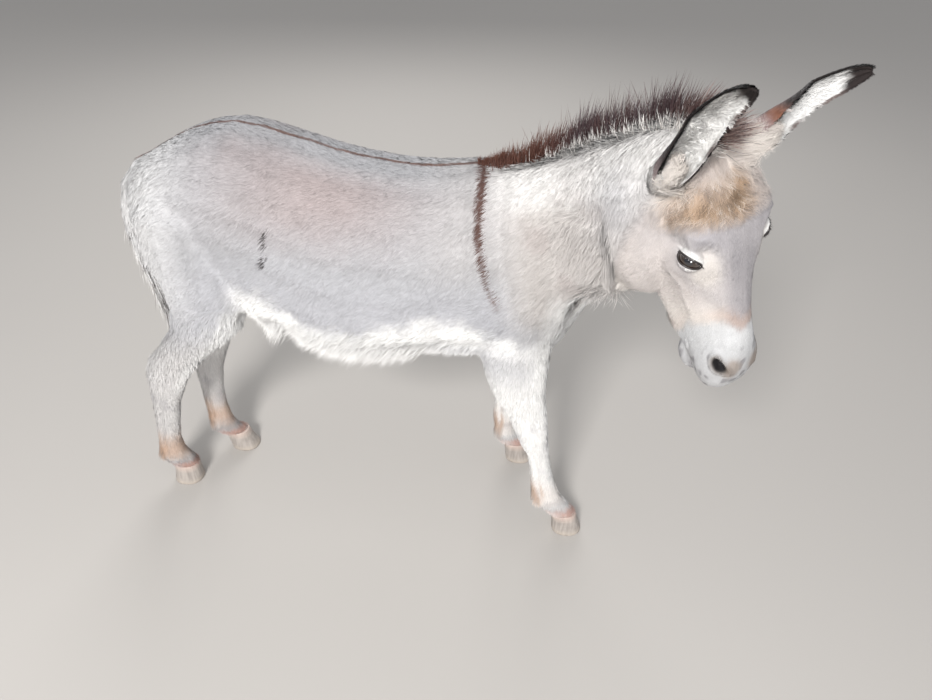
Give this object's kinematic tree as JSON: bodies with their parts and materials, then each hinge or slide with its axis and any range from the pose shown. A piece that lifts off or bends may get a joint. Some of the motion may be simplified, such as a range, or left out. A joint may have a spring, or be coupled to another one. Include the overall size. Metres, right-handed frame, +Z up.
{
  "type": "donkey",
  "caption": "Life-size still model of a small grey donkey standing on four hooves, with its head turned to its right and lowered.",
  "frame": {"origin": "on the floor below the middle of the bounding box", "axes": "+X the way the body faces, from tail to chest, +Y to its left, +Z up"},
  "size_m": [1.441, 0.6308, 1.2295],
  "materials": {
    "grey_coat": "short pale grey coat, warmer over the loin and creamy on the neck",
    "white_coat": "short white coat on the lower legs",
    "white_muzzle": "very short white hair over grey skin",
    "mane_hair": "stiff brown-black hair, paler at its roots",
    "ear_coat": "short hair, white inside, dark at the rims and tips",
    "hoof_horn": "dull grey horn with growth rings",
    "eye_dark": "wet, nearly black brown"
  },
  "bodies": {
    "root": {"trunk": "grey_coat", "neck": "grey_coat", "mane": "mane_hair", "head": "grey_coat", "muzzle": "white_muzzle", "lower_lip": "white_muzzle", "ear_left": "ear_coat", "eye_left": "eye_dark", "ear_right": "ear_coat", "eye_right": "eye_dark", "foreleg_right_forearm": "grey_coat", "foreleg_right_cannon": "white_coat", "foreleg_right_hoof": "hoof_horn", "foreleg_left_forearm": "grey_coat", "foreleg_left_cannon": "white_coat", "foreleg_left_hoof": "hoof_horn", "hind_leg_right_thigh": "grey_coat", "hind_leg_right_cannon": "white_coat", "hind_leg_right_hoof": "hoof_horn", "hind_leg_left_thigh": "grey_coat", "hind_leg_left_cannon": "white_coat", "hind_leg_left_hoof": "hoof_horn", "tail_dock": "grey_coat", "tail_tuft": "mane_hair"}
  },
  "joints": []
}
